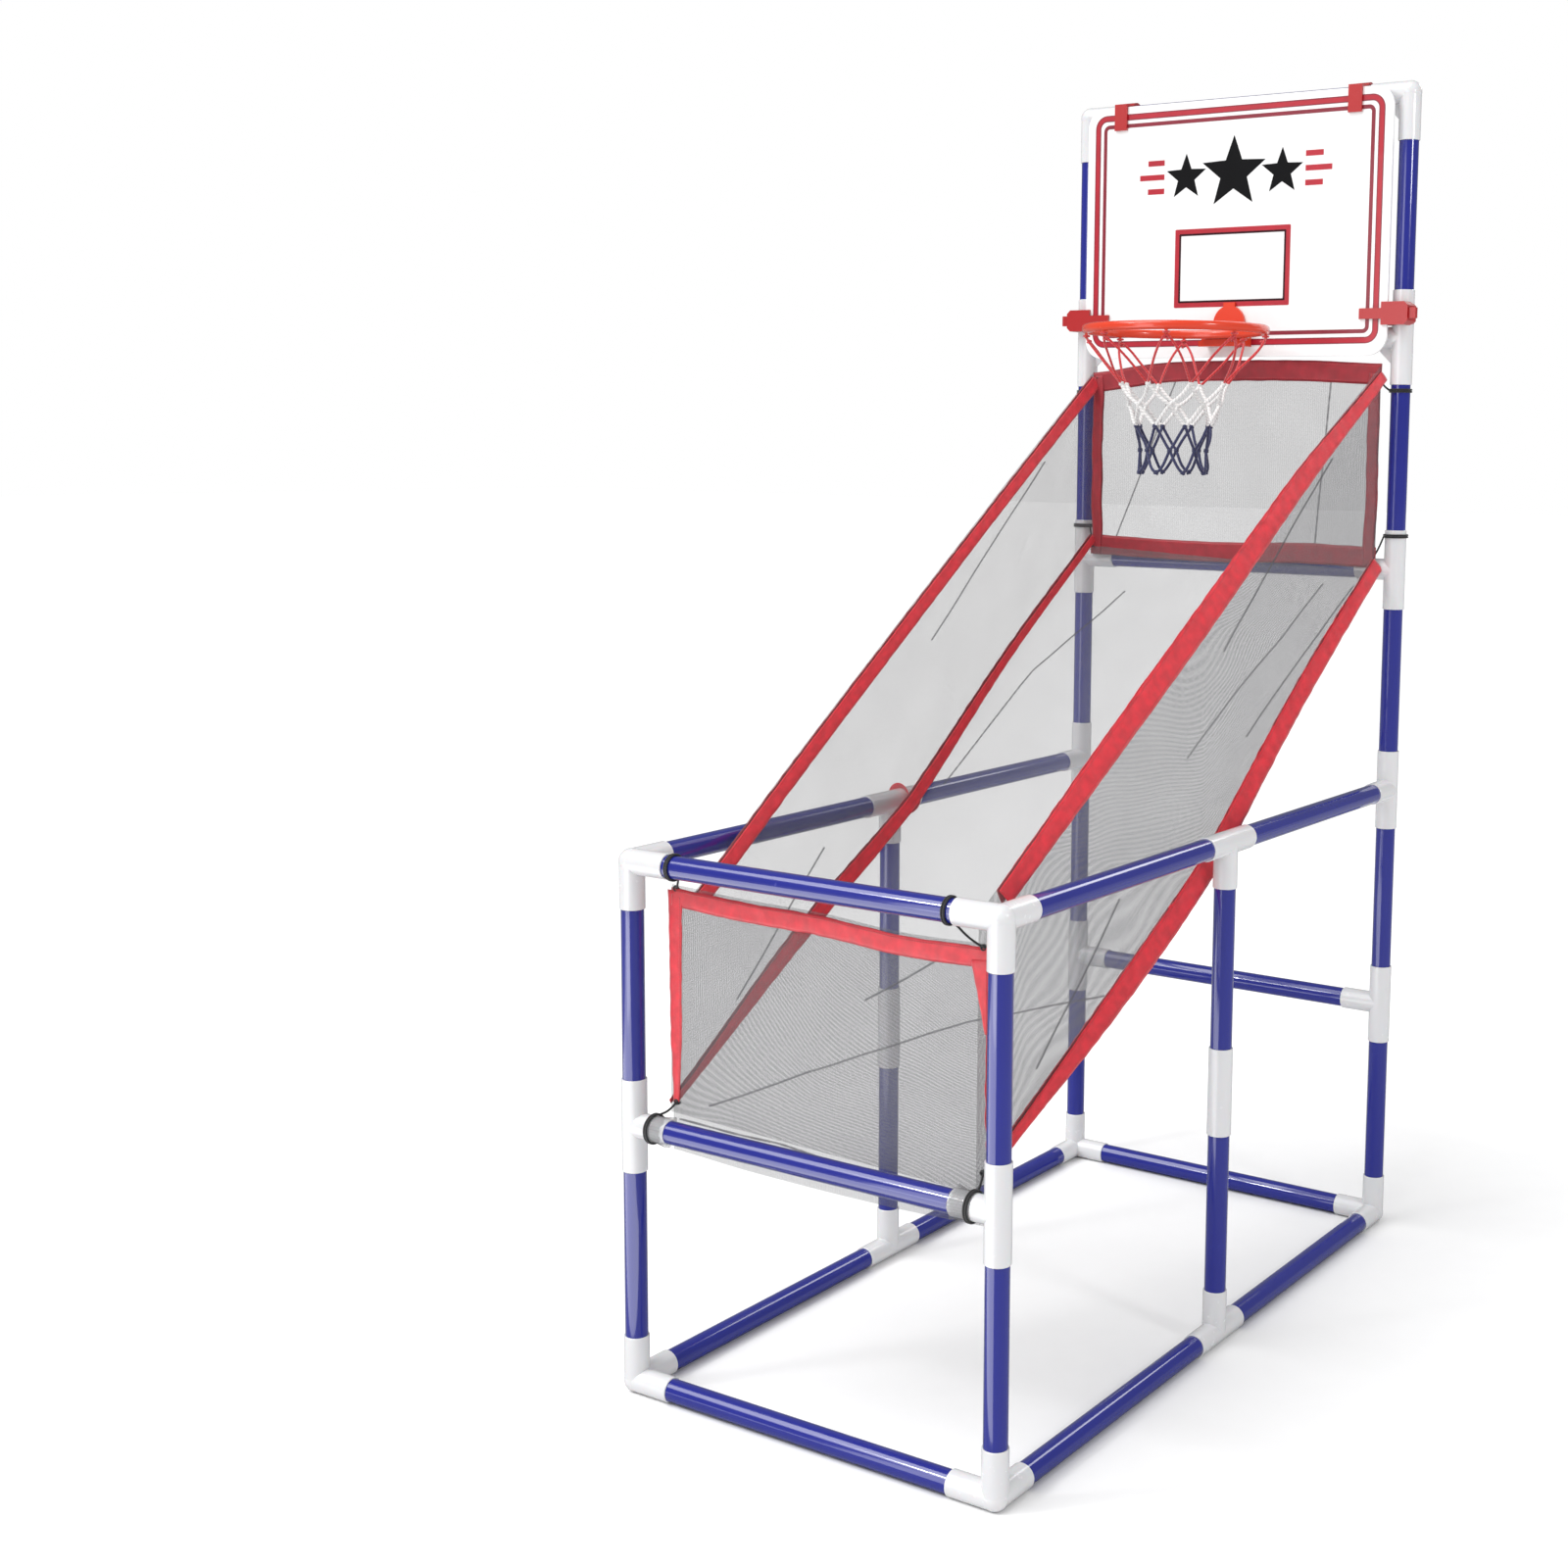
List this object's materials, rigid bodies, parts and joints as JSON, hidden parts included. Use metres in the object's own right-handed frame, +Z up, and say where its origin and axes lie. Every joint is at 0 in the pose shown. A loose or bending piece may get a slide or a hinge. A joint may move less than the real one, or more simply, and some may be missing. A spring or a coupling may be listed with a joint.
{
  "type": "toy basketball hoop machine",
  "caption": "Free-standing arcade basketball toy: push-fit tube frame, sloping mesh ball return to a front tray, backboard on the top crossbar and fold-up rim with net.",
  "frame": {"origin": "on the floor, under the middle of the tube frame", "axes": "+Z up, the open tray faces -Y and the backboard stands at +Y, +X to the right seen from the tray"},
  "size_m": [0.5034, 0.9358, 1.4488],
  "materials": {
    "tube_blue": "glossy extruded plastic tube, royal blue",
    "fitting_white": "glossy injection-moulded white plastic",
    "board_white": "smooth white plastic sheet",
    "clip_red": "semi-gloss moulded red plastic",
    "rim_red": "glossy moulded orange-red plastic",
    "screw_steel": "zinc-plated steel",
    "net_red": "braided red cord",
    "net_white": "braided white cord",
    "net_navy": "braided navy cord",
    "mesh_grey": "fine grey knitted mesh, see-through",
    "ribbon_red": "satin-woven red ribbon, sewn",
    "elastic_black": "black covered elastic cord"
  },
  "bodies": {
    "frame": {"base_front_tube": "tube_blue", "base_rear_tube": "tube_blue", "base_left_tubes": "tube_blue", "base_right_tubes": "tube_blue", "front_leg_left_tubes": "tube_blue", "front_leg_right_tubes": "tube_blue", "middle_leg_left_tubes": "tube_blue", "middle_leg_right_tubes": "tube_blue", "rail_left_tubes": "tube_blue", "rail_right_tubes": "tube_blue", "tray_crossbar": "tube_blue", "front_top_crossbar": "tube_blue", "upright_left_tubes": "tube_blue", "upright_right_tubes": "tube_blue", "rear_low_crossbar": "tube_blue", "rear_middle_crossbar": "tube_blue", "rear_board_crossbar": "tube_blue", "rear_top_crossbar": "tube_blue", "base_corner_front_left": "fitting_white", "base_corner_front_right": "fitting_white", "base_corner_rear_left": "fitting_white", "base_corner_rear_right": "fitting_white", "base_middle_tees": "fitting_white", "front_tees": "fitting_white", "front_top_corner_left": "fitting_white", "front_top_corner_right": "fitting_white", "rail_tees": "fitting_white", "middle_leg_couplers": "fitting_white", "rear_low_tees": "fitting_white", "rear_rail_tee_left": "fitting_white", "rear_rail_tee_right": "fitting_white", "rear_middle_tee_left": "fitting_white", "rear_middle_tee_right": "fitting_white", "rear_board_tee_left": "fitting_white", "rear_board_tee_right": "fitting_white", "top_elbow_left": "fitting_white", "top_elbow_right": "fitting_white", "mesh_floor": "mesh_grey", "mesh_back": "mesh_grey", "mesh_front": "mesh_grey", "mesh_sides": "mesh_grey", "ribbon_top_edges": "ribbon_red", "ribbon_floor_edges": "ribbon_red", "ribbon_back_hem": "ribbon_red", "ribbon_front_hem": "ribbon_red", "elastic_ties": "elastic_black"},
    "backboard_unit": {"backboard": "board_white", "top_clip_left": "clip_red", "top_clip_right": "clip_red", "side_clip_left": "clip_red", "side_clip_right": "clip_red", "rim_bracket": "rim_red", "bracket_screws": "screw_steel", "rim_pin": "screw_steel"},
    "rim_unit": {"rim": "rim_red", "net_red": "net_red", "net_white": "net_white", "net_navy": "net_navy"}
  },
  "joints": [
    {"name": "backboard_swing", "type": "hinge", "parent": "frame", "child": "backboard_unit", "pos_m": [0, 0.452, 1.4333], "axis": [-1, 0, 0], "range_deg": [0, 90]},
    {"name": "rim_fold", "type": "hinge", "parent": "backboard_unit", "child": "rim_unit", "pos_m": [0, 0.4155, 1.1423], "axis": [-1, 0, 0], "range_deg": [0, 90], "deforming": ["net_red", "net_white", "net_navy"]}
  ]
}
